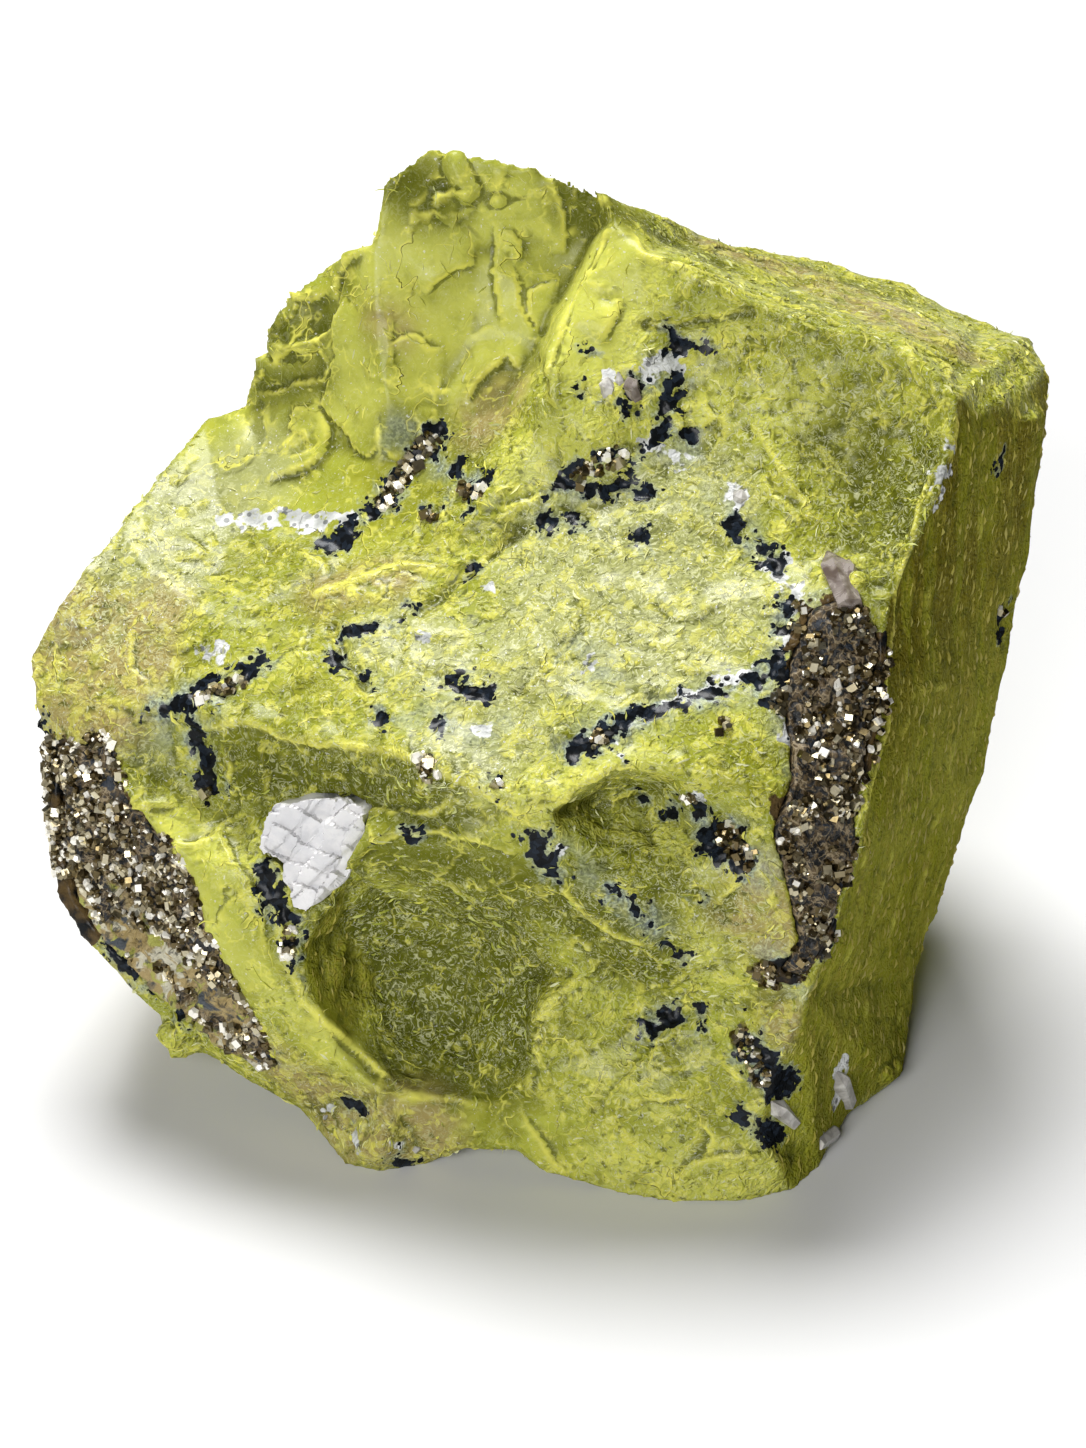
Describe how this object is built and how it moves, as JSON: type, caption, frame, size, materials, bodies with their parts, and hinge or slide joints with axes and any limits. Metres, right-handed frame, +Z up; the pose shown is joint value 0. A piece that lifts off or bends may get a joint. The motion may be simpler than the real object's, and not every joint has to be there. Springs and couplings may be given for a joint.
{
  "type": "serpentine rock",
  "caption": "Blocky hand specimen of yellow-green serpentine with a sloping top, a scooped front, pyrite crusts on two faces and a white cleaved calcite crystal.",
  "frame": {"origin": "a point near the middle of the flat underside that the rock rests on", "axes": "+X to the right along the longest side, +Y from the scooped front to the back, +Z up from the underside"},
  "size_m": [0.1027, 0.0738, 0.086],
  "materials": {
    "serpentine": "waxy, rough fracture",
    "pyrite": "brassy metallic grains",
    "calcite": "pearly cleavage"
  },
  "bodies": {
    "root": {"serpentine_body": "serpentine", "pyrite_crust_left": "pyrite", "pyrite_crust_right": "pyrite", "calcite_crystal": "calcite"}
  },
  "joints": []
}
